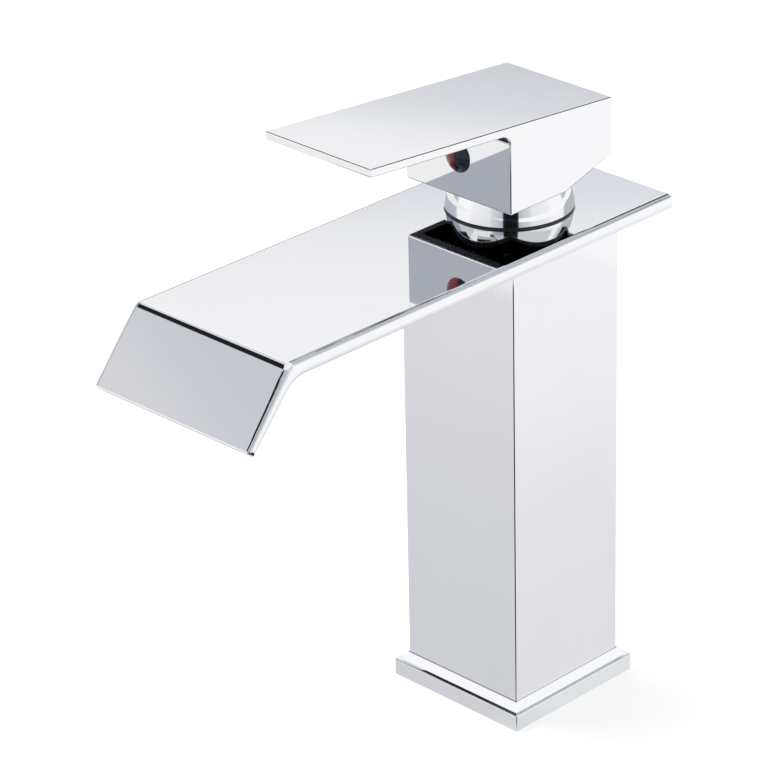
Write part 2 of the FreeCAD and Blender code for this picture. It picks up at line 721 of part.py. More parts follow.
def cartridge_base():
    """Bottom of the cartridge: three ways, seal seats on both faces, rim round the disc."""
    body = new_body("cartridge_base")
    profile = sketch(body, "profile", "XZ_Plane")
    polygon(profile, [
        ("0", "base_bottom"), ("cartridge_radius", "base_bottom"),
        ("cartridge_radius", "base_top"), ("rim_outer", "base_top"),
        ("rim_outer", "base_top + base_rim"), ("rim_inner", "base_top + base_rim"),
        ("rim_inner", "base_top"), ("0", "base_top")])
    turn(body, "base_turn", profile)
    ways = sketch(body, "ways", level="base_bottom")
    ports(ways)
    cut(body, "ways_cut", ways, "base_height", upward=True)
    seats = sketch(body, "seal_seats", level="base_bottom")
    ports(seats, "seal_width")
    cut(body, "seal_seats_cut", seats, "seal_thickness - seal_proud", upward=True)
    tops = sketch(body, "disc_seal_seats", level="base_top")
    ports(tops, "seal_width")
    cut(body, "disc_seal_seats_cut", tops, "seal_width")


def fixed_disc():
    """Ceramic disc that stands still, with the three ports."""
    body = new_body("fixed_disc")
    disc = sketch(body, "disc", level="base_top")
    circle(disc, "disc_radius")
    ports(disc)
    pad(body, "disc_pad", disc, "disc_thickness")


def cartridge_housing():
    """Sleeve of the cartridge: shoulder for the nut, lip that holds the rotor."""
    body = new_body("cartridge_housing")
    profile = sketch(body, "profile", "XZ_Plane")
    polygon(profile, [
        ("bore_radius", "base_top"), ("cartridge_radius", "base_top"),
        ("cartridge_radius", "nut_seat"), ("barrel_radius", "nut_seat"),
        ("barrel_radius", "barrel_top"), ("lip_bore", "barrel_top"),
        ("lip_bore", "lip_height"), ("bore_radius", "lip_height")])
    turn(body, "housing_turn", profile)
    groove = sketch(body, "groove", "XZ_Plane")
    middle = "base_top + ring_rise"
    rectangle(groove, "ring_radius - ring_section", middle + " - ring_section",
              "cartridge_radius + 1", middle + " + ring_section")
    turn(body, "groove_cut", groove, "Groove")


def housing_ring():
    """Rubber ring between the cartridge and its chamber, with a six-sided section."""
    body = new_body("housing_ring")
    section = sketch(body, "section", "XZ_Plane")
    polygon(section, [
        ("ring_radius + ring_section * cos(%d deg)" % a,
         "base_top + ring_rise + ring_section * sin(%d deg)" % a) for a in range(0, 360, 60)])
    turn(body, "ring_turn", section)


def cartridge_nut():
    """Slotted ring nut that holds the cartridge down."""
    body = new_body("cartridge_nut")
    profile = sketch(body, "profile", "XZ_Plane")
    polygon(profile, [
        ("barrel_radius + rotor_gap", "nut_seat"), ("nut_radius - neck_gap", "nut_seat"),
        ("nut_radius - neck_gap", "nut_top"), ("barrel_radius + rotor_gap", "nut_top")])
    turn(body, "nut_turn", profile)
    notch = sketch(body, "notch", level="nut_top")
    rectangle(notch, "barrel_radius - 1", "-notch_width / 2", "nut_radius + 1", "notch_width / 2")
    first = cut(body, "notch_cut", notch, "notch_depth")
    doc.recompute()
    ring = body.newObject("PartDesign::PolarPattern", "notches")
    ring.Originals = [first]
    ring.Axis = (notch, ["N_Axis"])
    ring.Angle = 360
    ring.Occurrences = 6
    body.Tip = ring


# ---------------------------------------------------------------- dome cap

def dome_cap():
    """Round cap screwed on the neck; it clamps the spout and hides the cartridge."""
    body = new_body("dome_cap")
    inside = "(dome_radius - dome_wall)"
    ledge = "neck_top + dome_step"
    waist = "(dome_mouth + neck_radius) / 2"
    profile = sketch(body, "profile", "XZ_Plane")
    domed(profile, [
        ("dome_mouth", "pivot_height + sqrt(dome_radius ^ 2 - dome_mouth ^ 2)"),
        ("dome_mouth", "pivot_height + sqrt(%s ^ 2 - dome_mouth ^ 2)" % inside),
        (waist, "pivot_height + sqrt(%s ^ 2 - (%s) ^ 2)" % (inside, waist)),
        ("sqrt(%s ^ 2 - (%s - pivot_height) ^ 2)" % (inside, ledge), ledge),
        ("neck_radius + neck_gap", ledge), ("neck_radius + neck_gap", "dome_foot"),
        ("sqrt(dome_radius ^ 2 - (dome_foot - pivot_height) ^ 2)", "dome_foot")], -2)
    turn(body, "cap_turn", profile)


def centre(body, item, level):
    plane = [f for f in body.Origin.OriginFeatures if f.Role == "XY_Plane"][0]
    item.AttachmentSupport = [(plane, "")]
    item.MapMode = "FlatFace"
    item.setExpression(".AttachmentOffset.Base.z", bound(level))


def dome_ring():
    """Thin dark slip ring under the dome cap."""
    body = new_body("dome_ring")
    ring = sketch(body, "ring", level="spout_top")
    circle(ring, "dome_radius - dome_ring_inset")
    circle(ring, "neck_radius + neck_gap")
    pad(body, "ring_pad", ring, "dome_ring_height")


# ---------------------------------------------------------------- cartridge, turning

def cartridge_rotor():
    """Turning guide: flange under the housing lip, slot for the stem, guide lugs."""
    body = new_body("cartridge_rotor")
    profile = sketch(body, "profile", "XZ_Plane")
    polygon(profile, [
        ("0", "rotor_bottom"), ("rim_outer", "rotor_bottom"), ("rim_outer", "rotor_shoulder"),
        ("rotor_radius", "rotor_shoulder"), ("rotor_radius", "rotor_top"), ("0", "rotor_top")])
    turn(body, "rotor_turn", profile)
    lugs = sketch(body, "lugs", level="rotor_bottom - lug_height")
    for left, right in (("carrier_flat / 2 + rotor_gap", "bore_radius - lug_inset"),
                        ("-bore_radius + lug_inset", "-carrier_flat / 2 - rotor_gap")):
        rectangle(lugs, left, "-lug_width / 2", right, "lug_width / 2")
    pad(body, "lugs_pad", lugs, "lug_height + rotor_flange / 2")
    slot = sketch(body, "slot", level="rotor_top")
    rectangle(slot, "-stem_width / 2 - stem_gap", "-stem_slot / 2",
              "stem_width / 2 + stem_gap", "stem_slot / 2")
    cut(body, "slot_cut", slot, "rotor_top - rotor_bottom")
    pin = sketch(body, "pin_hole", "YZ_Plane")
    circle(pin, "pin_radius + pin_gap", "0", "pivot_height")
    cut(body, "pin_hole_cut", pin, "2 * rotor_radius + 1", both_ways=True)


def pivot_pin():
    """Pin that the stem rocks on."""
    body = new_body("pivot_pin")
    pin = sketch(body, "pin", "YZ_Plane")
    circle(pin, "pin_radius", "0", "pivot_height")
    pad(body, "pin_pad", pin, "pin_length", both_ways=True)


def stop_ring():
    """Temperature stop ring on top of the rotor."""
    body = new_body("stop_ring")
    ring = sketch(body, "ring", level="rotor_top")
    circle(ring, "rotor_radius - rotor_gap")
    circle(ring, "rotor_radius - rotor_gap - stop_ring_width")
    pad(body, "ring_pad", ring, "stop_ring_height")


# ---------------------------------------------------------------- cartridge, sliding

def disc_carrier():
    """Carrier that the ball pushes; its flats run between the rotor's lugs."""
    body = new_body("disc_carrier")
    plate = sketch(body, "plate", level="slider_top")
    circle(plate, "carrier_radius")
    pad(body, "plate_pad", plate, "carrier_top - slider_top")
    sides = sketch(body, "flats", level="slider_top")
    for left, right in (("carrier_flat / 2", "carrier_radius + 1"),
                        ("-carrier_radius - 1", "-carrier_flat / 2")):
        rectangle(sides, left, "-carrier_radius", right, "carrier_radius")
    cut(body, "flats_cut", sides, "carrier_top - slider_top", upward=True)
    socket = sketch(body, "socket", level="carrier_top")
    circle(socket, "ball_radius + ball_gap")
    cut(body, "socket_cut", socket, "carrier_top - socket_floor")
    body.setExpression(".Placement.Base.y", bound("ball_back"))


def moving_disc():
    """Sliding ceramic disc with the mixing hollow in its face."""
    body = new_body("moving_disc")
    disc = sketch(body, "disc", level="disc_top")
    circle(disc, "slider_radius")
    pad(body, "disc_pad", disc, "slider_thickness")
    hollow = sketch(body, "mixing_hollow", level="disc_top")
    rectangle(hollow, "-mixing_width / 2", "-mixing_length / 2",
              "mixing_width / 2", "mixing_length / 2")
    cut(body, "mixing_hollow_cut", hollow, "mixing_depth", upward=True)
    body.setExpression(".Placement.Base.y", bound("ball_back"))


# ---------------------------------------------------------------- handle

def lean(body):
    """Stand a piece on the pivot, leaning forward as the stem does when shut."""
    body.Placement = Placement(Vector(), Rotation(Vector(1, 0, 0), 0))
    body.setExpression(".Placement.Base.z", bound("pivot_height"))
    body.setExpression(".Placement.Rotation.Angle", bound("lean_closed"))


def on_stem(along, up):
    """Point in the stem's own leaning frame, as expressions of Y and Z."""
    y = "(%s) * cos(lean_closed * 1 deg) - (%s) * sin(lean_closed * 1 deg)" % (along, up)
    z = "pivot_height + (%s) * sin(lean_closed * 1 deg) + (%s) * cos(lean_closed * 1 deg)" % (
        along, up)
    return y, z


def spindle():
    """Stem: ball and arm below the pivot, eye at the pivot, square above."""
    body = new_body("spindle")
    arm = sketch(body, "arm", level="-arm_length")
    circle(arm, "arm_radius")
    pad(body, "arm_pad", arm, "arm_length")
    eye = sketch(body, "eye", "YZ_Plane")
    circle(eye, "stem_width / 2 + eye_margin")
    pad(body, "eye_pad", eye, "stem_width", both_ways=True)
    stem = sketch(body, "stem")
    square(stem, "stem_width")
    pad(body, "stem_pad", stem, "stem_length")
    ball = body.newObject("PartDesign::AdditiveSphere", "ball")
    bind(ball, Radius="ball_radius")
    centre(body, ball, "-arm_length")
    hole = sketch(body, "pin_hole", "YZ_Plane")
    circle(hole, "pin_radius + pin_gap")
    cut(body, "pin_hole_cut", hole, "stem_width + 1", both_ways=True)
    lean(body)


def handle():
    """Lever plate and hub in one casting, hollow below, with the stem block."""
    body = new_body("handle")
    side = sketch(body, "side", "YZ_Plane")
    under = "lever_tip_height - lever_thickness"
    polygon(side, [
        ("-lever_front", "lever_tip_height"), ("-lever_front", under),
        ("-hub_front", under + " - lever_slope * (lever_front - hub_front)"),
        ("-hub_front", "hub_bottom"), ("hub_flat", "hub_bottom"),
        ("lever_back", "hub_rear"), ("lever_back", "lever_back_height")])
    pad(body, "side_pad", side, "lever_width", both_ways=True)
    round_edges(
        body, "hub_hollow_round",
        lambda m, e: abs(m.y + size("hub_front")) < 1e-3 and m.z > size("hub_bottom") + 1
        and abs(m.x) < 1,
        "hub_fillet")
    front, low = size("-hub_front"), size("hub_bottom")
    round_edges(
        body, "outer_edges",
        lambda m, e: abs(m.x) > 1 or m.y > size("hub_flat") + 1
        or m.y < front - size("hub_fillet") - 1
        or abs(m.z - low) < 1e-3 and abs(m.y - front) < 1e-3,
        "lever_edge")
    roof = "lever_back_height - hub_roof + lever_slope * "
    hollow = sketch(body, "hollow", "YZ_Plane")
    polygon(hollow, [
        ("-hub_hollow", "hub_bottom - 1"), ("hub_hollow", "hub_bottom - 1"),
        ("hub_hollow", roof + "(lever_back - hub_hollow)"),
        ("-hub_hollow", roof + "(lever_back + hub_hollow)")])
    cut(body, "hollow_cut", hollow, "2 * hub_hollow", both_ways=True)
    block = sketch(body, "block", "YZ_Plane")
    polygon(block, [
        ("-hub_hollow - block_sink", "block_low"), ("-block_step", "block_low"),
        ("-block_step + block_skirt / 2", "block_bottom"), ("block_back", "block_bottom"),
        ("block_back", roof + "(lever_back - block_back) + block_sink"),
        ("-hub_hollow - block_sink", roof + "(lever_back + hub_hollow) + block_sink")])
    pad(body, "block_pad", block, "block_width", both_ways=True)
    socket = sketch(body, "stem_socket", "YZ_Plane")
    half = "(stem_width / 2 + socket_gap)"
    polygon(socket, [
        on_stem("-" + half, "dome_radius - 2"), on_stem(half, "dome_radius - 2"),
        on_stem(half, "stem_seat"), on_stem("-" + half, "stem_seat")])
    cut(body, "stem_socket_cut", socket, "stem_width + 2 * socket_gap", both_ways=True)
    bore = body.newObject("PartDesign::SubtractiveCylinder", "screw_bore")
    bind(bore, Radius="screw_radius + screw_gap", Height="screw_bore")
    across(body, bore, on_stem("-screw_bore - stem_width / 2", "screw_station"), "lean_closed")
    seat = body.newObject("PartDesign::SubtractiveCylinder", "plug_seat_bore")
    bind(seat, Radius="plug_radius + plug_gap", Height="plug_seat + 1")
    across(body, seat, ("-hub_front - 1", "plug_height"), "0")


def across(body, item, point, rise):
    """Aim a round primitive along +Y from a point of the side view, rising by rise."""
    plane = [f for f in body.Origin.OriginFeatures if f.Role == "XY_Plane"][0]
    item.AttachmentSupport = [(plane, "")]
    item.MapMode = "FlatFace"
    item.AttachmentOffset = Placement(Vector(), Rotation(Vector(1, 0, 0), -90))
    item.setExpression(".AttachmentOffset.Base.y", bound(point[0]))
    item.setExpression(".AttachmentOffset.Base.z", bound(point[1]))
    item.setExpression(".AttachmentOffset.Rotation.Angle", bound("-90 + " + rise))


def set_screw():
    """Socket set screw that grips the stem from the front."""
    body = new_body("set_screw")
    shank = sketch(body, "shank", "XZ_Plane", level="stem_width / 2")
    circle(shank, "screw_radius", "0", "screw_station")
    pad(body, "shank_pad", shank, "screw_length")
    hexagon = sketch(body, "hexagon", "XZ_Plane", level="stem_width / 2 + screw_length")
    polygon(hexagon, [
        ("screw_hex / sqrt(3) * cos(%d deg)" % a,
         "screw_station + screw_hex / sqrt(3) * sin(%d deg)" % a) for a in range(0, 360, 60)])
    cut(body, "hexagon_cut", hexagon, "screw_hex_depth")
    lean(body)


def indicator_plug():
    """Carrier at the bottom of the plug seat; the two coloured halves stand on it."""
    body = new_body("indicator_plug")
    cup = sketch(body, "cup", "XZ_Plane", level="hub_front - plug_seat")
    circle(cup, "plug_radius", "0", "plug_height")
    pad(body, "cup_pad", cup, "plug_skirt")


def indicator_half(label, to_left):
    """Half of the domed two-colour face, turned about the plug's own axis."""
    body = new_body(label)
    face = sketch(body, "face", "YZ_Plane")
    face.setExpression(".AttachmentOffset.Base.y", bound("plug_height"))
    back = "-hub_front + plug_seat - plug_skirt"
    domed(face, [
        ("-hub_front - plug_crown", "0"), (back, "0"), (back, "plug_radius"),
        ("-hub_front", "plug_radius")], -1)
    half = feature(body, "Revolution", "face_turn", face)
    half.ReferenceAxis = (face, ["H_Axis"])
    half.Angle = 180
    half.Reversed = to_left


for make in (base_flange, base_gasket, column_body, spout_gasket, spout_shell, spout_floor,
             cartridge_base, fixed_disc, cartridge_housing, housing_ring, cartridge_nut,
             dome_ring, dome_cap, cartridge_rotor, pivot_pin, stop_ring, disc_carrier,
             moving_disc, spindle, handle, set_screw, indicator_plug):
    make()
port_rings("port_seals", "chamber_floor", "seal_thickness")
port_rings("disc_seals", "base_top - seal_width", "seal_width")
indicator_half("indicator_hot", True)
indicator_half("indicator_cold", False)
doc.recompute()

faults = ["%s %s" % (item.Name, " ".join(item.State)) for item in doc.Objects
          if "Invalid" in item.State or "Error" in item.State]
for item in PARTS:
    if item.Shape.isNull() or not item.Shape.isValid() or not item.Shape.Solids:
        faults.append(item.Label + " has no valid shape")
if faults:
    raise RuntimeError("; ".join(faults))

os.makedirs("parts", exist_ok=True)
for item in PARTS:
    item.Shape.exportStep("parts/%s.step" % item.Label)
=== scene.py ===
import math

import bpy
from mathutils import Matrix, Vector


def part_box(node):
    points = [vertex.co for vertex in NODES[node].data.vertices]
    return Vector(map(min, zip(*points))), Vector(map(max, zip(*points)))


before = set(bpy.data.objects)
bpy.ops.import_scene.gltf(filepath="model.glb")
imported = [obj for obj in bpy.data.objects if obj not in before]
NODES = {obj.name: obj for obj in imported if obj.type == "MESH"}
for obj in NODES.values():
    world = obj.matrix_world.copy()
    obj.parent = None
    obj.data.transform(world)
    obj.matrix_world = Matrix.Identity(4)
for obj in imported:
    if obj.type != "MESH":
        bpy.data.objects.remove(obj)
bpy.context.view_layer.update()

bl_info = {
    "name": "Waterfall basin mixer",
    "version": (1, 0, 0),
    "blender": (4, 5, 0),
    "location": "3D View > Sidebar > Mixer",
    "description": "Finishes, studio and camera for a single-lever waterfall basin mixer",
    "category": "Object",
}

# Hub of the handle, which bounds its painted shade: top of its hollow, end of its level
# underside, foot of its rear face, the part of its wall that stays plain chrome, and how near
# the underside counts as the underside.
HUB_ROOF = 0.1765
HUB_FLAT = 0.0016
HUB_REAR = 0.1605
HUB_WALL = 0.001
HUB_UNDER = 0.00004

# What the hub's painted shade adds to the roughness of the plating.
SHADE_ROUGHNESS = 0.5

# Unit directions on the floor plane: the photograph's camera, and its right hand.
TO_CAMERA = (0.7116, -0.7026, 0.0)
TO_RIGHT = (0.7026, 0.7116, 0.0)

# Front and rear corners of the foot, from which the floor's dark fields open.
FRONT_CORNER = (0.025, -0.025, 0.0)
REAR_CORNER = (-0.025, 0.025, 0.0)

# Distances on the floor over which its fields are laid out.
NEAR_REACH = 0.5
FAR_REACH = 1.0
SQUARE_REACH = 0.25

# Levels of the room and the floor as mirrors see them.
BLACK = 0.015
DARK = 0.05
PLAIN_WHITE = (1.0, 1.0, 1.0)
WHITE = (1.0, 1.0, 1.01)
CEILING = (0.92, 0.92, 0.94)
LILAC = (0.89, 0.89, 0.915)
GREY = {1: (0.20, 0.21, 0.23), 2: (0.43, 0.45, 0.49), 3: (0.50, 0.53, 0.57),
        4: (0.62, 0.64, 0.67), 5: (0.70, 0.72, 0.76)}

# Where the dark stripe in front sets in: stops on the way from behind (0) to in front (1).
STRIPE = ((0.984, 1.0), (0.989, BLACK))

# Levels of the light for everything that isn't a mirror.
ROOM_LIGHT = 0.75
FLOOR_COLOUR = 0.80
FLOOR_GLOW = 0.42

LAMP_PLACE = (-0.5, -0.25, 1.3)
LAMP_AIM = (0, -0.03, 0.08)
LAMP_SIZE = 0.9


# ---------------------------------------------------------------- sizes and colours

class StudioSettings(bpy.types.PropertyGroup):
    """Camera, floor and light."""
    azimuth: bpy.props.FloatProperty(
        name="Azimuth", description="Camera's turn from the front, towards the right",
        default=math.radians(45.367), subtype="ANGLE")
    elevation: bpy.props.FloatProperty(
        name="Elevation", description="Camera's height angle",
        default=math.radians(25.973), subtype="ANGLE")
    roll: bpy.props.FloatProperty(
        name="Roll", description="Camera's turn about its own axis",
        default=math.radians(-1.3237), subtype="ANGLE")
    distance: bpy.props.FloatProperty(
        name="Distance", description="From the camera to its target", default=1.05735,
        unit="LENGTH")
    target: bpy.props.FloatVectorProperty(
        name="Target", description="Point in the middle of the picture",
        default=(-0.001315, -0.048918, 0.109731), subtype="XYZ", unit="LENGTH")
    lens: bpy.props.FloatProperty(
        name="Lens", description="Focal length in millimetres on a 36 mm sensor",
        default=185.74)
    floor_size: bpy.props.FloatProperty(
        name="Floor", description="Width of the floor", default=8.0, unit="LENGTH")
    lamp_power: bpy.props.FloatProperty(
        name="Lamp", description="Power of the soft overhead lamp", default=9.0, unit="POWER")


class FinishSettings(bpy.types.PropertyGroup):
    """Colours of the finishes."""
    chrome: bpy.props.FloatVectorProperty(
        name="Chrome", description="Reflectance of the plating",
        default=(0.94, 0.943, 0.95), size=3, subtype="COLOR", min=0, max=1)
    # Dark colour of the painted shade within and under the hub.
    painted_hub_shade: bpy.props.FloatVectorProperty(
        name="Painted hub shade", description="Painted shade within and under the hub",
        default=(0.018, 0.022, 0.030), size=3, subtype="COLOR", min=0, max=1)
    rubber: bpy.props.FloatVectorProperty(
        name="Rubber", description="Gaskets and seal rings",
        default=(0.018, 0.018, 0.02), size=3, subtype="COLOR", min=0, max=1)
    plastic: bpy.props.FloatVectorProperty(
        name="Cartridge plastic", description="Moulded cartridge pieces",
        default=(0.74, 0.74, 0.70), size=3, subtype="COLOR", min=0, max=1)
    ceramic: bpy.props.FloatVectorProperty(
        name="Ceramic", description="Lapped discs",
        default=(0.83, 0.82, 0.77), size=3, subtype="COLOR", min=0, max=1)
    brass: bpy.props.FloatVectorProperty(
        name="Brass", description="Turned brass",
        default=(0.78, 0.58, 0.27), size=3, subtype="COLOR", min=0, max=1)
    steel: bpy.props.FloatVectorProperty(
        name="Steel", description="Pin and set screw",
        default=(0.55, 0.56, 0.58), size=3, subtype="COLOR", min=0, max=1)
    black: bpy.props.FloatVectorProperty(
        name="Black plastic", description="Slip ring and plug carrier",
        default=(0.012, 0.012, 0.014), size=3, subtype="COLOR", min=0, max=1)
    red: bpy.props.FloatVectorProperty(
        name="Hot half", description="Red half of the indicator",
        default=(0.30, 0.014, 0.028), size=3, subtype="COLOR", min=0, max=1)
    blue: bpy.props.FloatVectorProperty(
        name="Cold half", description="Dark blue half of the indicator",
        default=(0.010, 0.022, 0.040), size=3, subtype="COLOR", min=0, max=1)


# ---------------------------------------------------------------- material helpers

class Shader:
    """A material whose nodes are added one by one."""

    def __init__(self, name):
        self.start(bpy.data.materials.new(name), "ShaderNodeOutputMaterial")

    def start(self, material, output):
        self.material = material
        self.material.use_nodes = True
        self.tree = self.material.node_tree
        self.tree.nodes.clear()
        self.output = self.add(output)

    def add(self, kind, **values):
        """Node with attributes, and sockets given as a dict named sockets."""
        sockets = values.pop("sockets", {})
        node = self.tree.nodes.new(kind)
        for key, value in values.items():
            setattr(node, key, value)
        for key, value in sockets.items():
            node.inputs[key].default_value = value
        return node

    def link(self, source, target):
        self.tree.links.new(source, target)

    def feed(self, target, value):
        """Link a socket, or set a plain number or colour."""
        if isinstance(value, bpy.types.NodeSocket):
            self.link(value, target)
        elif isinstance(value, (int, float)):
            target.default_value = value
        else:
            target.default_value = (*value, 1)

    def principled(self, **sockets):
        names = {key.replace("_", " "): value for key, value in sockets.items()}
        shader = self.add("ShaderNodeBsdfPrincipled", sockets=names)
        self.link(shader.outputs[0], self.output.inputs["Surface"])
        return shader

    def coordinates(self, scale=(1, 1, 1)):
        place = self.add("ShaderNodeTexCoord")
        stretch = self.add("ShaderNodeMapping", sockets={"Scale": scale})
        self.link(place.outputs["Object"], stretch.inputs["Vector"])
        return stretch.outputs["Vector"]

    def noise(self, scale, detail=4.0, roughness=0.55, stretch=(1, 1, 1)):
        node = self.add("ShaderNodeTexNoise", sockets={
            "Scale": scale, "Detail": detail, "Roughness": roughness})
        self.link(self.coordinates(stretch), node.inputs["Vector"])
        return node.outputs["Fac"]

    def spread(self, source, low, high, start=0.3, end=0.7):
        """Map a pattern to a range of values."""
        node = self.add("ShaderNodeMapRange", sockets={
            "From Min": start, "From Max": end, "To Min": low, "To Max": high})
        self.link(source, node.inputs["Value"])
        return node.outputs["Result"]

    def maths(self, operation, *values):
        """Result of a Math node; each value is a socket or a number."""
        node = self.add("ShaderNodeMath", operation=operation)
        for target, value in zip(node.inputs, values):
            self.feed(target, value)
        return node.outputs[0]

    def vector(self, operation, first, second=None):
        """Result of a Vector Math node on a socket and, if given, a fixed vector."""
        node = self.add("ShaderNodeVectorMath", operation=operation)
        self.link(first, node.inputs[0])
        if second is not None:
            node.inputs[1].default_value = second
        single = operation in ("DOT_PRODUCT", "LENGTH")
        return node.outputs["Value" if single else "Vector"]

    def split(self, vector):
        """The three parts of a vector, by axis."""
        node = self.add("ShaderNodeSeparateXYZ")
        self.link(vector, node.inputs[0])
        return node.outputs

    def mixed(self, share, first, second, kind="MIX"):
        """Colour from first to second by a share; each is a socket or a plain value."""
        node = self.add("ShaderNodeMix", data_type="RGBA", blend_type=kind)
        self.feed(node.inputs["Factor"], share)
        self.feed(node.inputs["A"], first)
        self.feed(node.inputs["B"], second)
        return node.outputs["Result"]

    def times(self, first, second):
        return self.mixed(1.0, first, second, "MULTIPLY")

    def either(self, share, first, second):
        """Shader from first to second by a share."""
        node = self.add("ShaderNodeMixShader")
        self.link(share, node.inputs["Fac"])
        self.link(first, node.inputs[1])
        self.link(second, node.inputs[2])
        return node.outputs[0]

    def light(self, kind, colour, strength):
        """Background or emission shader."""
        node = self.add(kind, sockets={"Strength": strength})
        self.feed(node.inputs["Color"], colour)
        return node.outputs[0]

    def tint(self, shader, pattern, colour, factor):
        """Base colour that wanders between a colour and a shade of it."""
        share = self.spread(pattern, 0.0, 1.0)
        self.link(self.mixed(share, colour, shade(colour, factor)), shader.inputs["Base Color"])

    def roughen(self, shader, pattern, low, high):
        self.link(self.spread(pattern, low, high), shader.inputs["Roughness"])

    def bump(self, source, shader, height):
        node = self.add("ShaderNodeBump", sockets={"Strength": 1.0, "Distance": height})
        self.link(source, node.inputs["Height"])
        self.link(node.outputs["Normal"], shader.inputs["Normal"])


def shade(colour, factor):
    return tuple(min(1.0, channel * factor) for channel in colour)


# ---------------------------------------------------------------- finishes

def polished_chrome(settings, name="polished_chrome", inside=None):
    """Mirror plating: faint haze in patches, fine wipe marks, a trace of orange peel.

    inside adds to the look the share of the surface that is painted dark as shade, with extra
    roughness.
    """
    look = Shader(name)
    shader = look.principled(Metallic=1.0)
    haze = look.noise(38.0, 3.0)
    wipes = look.noise(210.0, 6.0, 0.7, (1.0, 1.0, 0.16))
    tint = look.mixed(look.spread(haze, 0.0, 1.0), settings.chrome,
                      shade(settings.chrome, 0.985))
    rough = look.spread(look.maths("MULTIPLY", haze, wipes), 0.018, 0.052, 0.15, 0.40)
    # Painted shade: where the mask is 1 the chrome turns dark and rough.
    if inside:
        share = inside(look)
        tint = look.mixed(share, tint, settings.painted_hub_shade)
        rough = look.maths("MULTIPLY_ADD", share, SHADE_ROUGHNESS, rough)
    look.link(tint, shader.inputs["Base Color"])
    look.link(rough, shader.inputs["Roughness"])
    look.bump(look.noise(95.0, 2.0), shader, 0.0000012)
    return look.material


def hub_painted_shade(look):
    """Share of painted shade: 1 within the hub's walls and on its underside, 0 on the plain
    chrome outside.
    """
    place = look.split(look.add("ShaderNodeTexCoord").outputs["Object"])
    low, high = [Vector(corner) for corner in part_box("handle")]
    across = look.maths("COMPARE", place["X"], 0.0, high.x - HUB_WALL)
    lengthways = look.maths("COMPARE", place["Y"], 0.0, high.y - HUB_WALL)
    upright = look.maths("COMPARE", place["Z"], low.z, HUB_ROOF - low.z)
    within = look.maths("MINIMUM", look.maths("MINIMUM", across, lengthways), upright)
    underside = look.spread(place["Y"], low.z, HUB_REAR, HUB_FLAT, high.y)
    above = look.maths("SUBTRACT", place["Z"], underside)
    return look.maths("MAXIMUM", within, look.maths("LESS_THAN", above, HUB_UNDER))


def seal_rubber(settings):
    look = Shader("seal_rubber")
    shader = look.principled(Specular_IOR_Level=0.35)
    grain = look.noise(900.0, 5.0, 0.6)
    look.tint(shader, look.noise(60.0, 3.0), settings.rubber, 1.9)
    look.roughen(shader, grain, 0.55, 0.75)
    look.bump(grain, shader, 0.00002)
    return look.material


def cartridge_plastic(settings):
    look = Shader("cartridge_plastic")
    shader = look.principled(Subsurface_Weight=0.05, Subsurface_Scale=0.001)
    grain = look.noise(700.0, 4.0)
    flow = look.noise(90.0, 3.0, 0.5, (1.0, 1.0, 0.4))
    look.tint(shader, flow, settings.plastic, 0.93)
    look.roughen(shader, grain, 0.32, 0.48)
    look.bump(grain, shader, 0.00001)
    return look.material


def lapped_ceramic(settings):
    look = Shader("lapped_ceramic")
    shader = look.principled(Coat_Weight=0.25, Coat_Roughness=0.1)
    speck = look.noise(2400.0, 2.0)
    look.tint(shader, speck, settings.ceramic, 0.95)
    look.roughen(shader, look.noise(300.0), 0.16, 0.30)
    look.bump(speck, shader, 0.000004)
    return look.material


def turned_metal(name, colour, rough):
    """Machined metal with fine rings round the upright axis."""
    look = Shader(name)
    shader = look.principled(Metallic=1.0, Anisotropic=0.35)
    rings = look.noise(120.0, 4.0, 0.6, (0.4, 0.4, 26.0))
    look.tint(shader, look.noise(150.0, 3.0), colour, 0.86)
    look.roughen(shader, rings, rough, rough + 0.14)
    look.bump(rings, shader, 0.000008)
    return look.material


def black_plastic(settings):
    look = Shader("black_plastic")
    shader = look.principled()
    grain = look.noise(1100.0, 4.0)
    look.tint(shader, grain, settings.black, 1.7)
    look.roughen(shader, grain, 0.28, 0.42)
    look.bump(grain, shader, 0.000006)
    return look.material


def indicator_resin(name, colour):
    """Coloured resin under a clear domed coat."""
    look = Shader(name)
    shader = look.principled(Specular_IOR_Level=0.2, Coat_Weight=0.4, Coat_Roughness=0.03,
                             Coat_IOR=1.35)
    depth = look.noise(420.0, 3.0)
    look.tint(shader, depth, colour, 0.78)
    look.roughen(shader, depth, 0.12, 0.22)
    look.bump(look.noise(260.0, 2.0), shader, 0.000002)
    return look.material


def finish(node, material):
    """Give a CAD node its material."""
    piece = NODES[node]
    for place in piece.material_slots:
        place.material = material


# ---------------------------------------------------------------- room and floor

class Sky(Shader):
    """The world's own node tree, used like a material."""

    def __init__(self, name):
        self.start(bpy.data.worlds.new(name), "ShaderNodeOutputWorld")


def ramp(look, source, stops):
    """Smooth run of colours; stops are (place, grey level or colour)."""
    node = look.add("ShaderNodeValToRGB")
    node.color_ramp.interpolation = "EASE"
    points = node.color_ramp.elements
    while len(points) < len(stops):
        points.new(0.5)
    for point, (place, level) in zip(points, stops):
        point.position = place
        colour = level if isinstance(level, tuple) else (level, level, level)
        point.color = (*colour, 1)
    look.link(source, node.inputs["Fac"])
    return node.outputs["Color"]


def between(look, source, start, end):
    """Smooth share that is 0 up to start and 1 from end."""
    return ramp(look, source, [(start, 0.0), (end, 1.0)])


def along(look, vector, direction, low, high):
    """Share of the way from low to high of a vector's part along a direction."""
    return look.spread(look.vector("DOT_PRODUCT", vector, direction), 0.0, 1.0, low, high)


def level(look, vector):
    """The vector turned into a unit direction on the floor plane."""
    return look.vector("NORMALIZE", look.vector("MULTIPLY", vector, (1, 1, 0)))


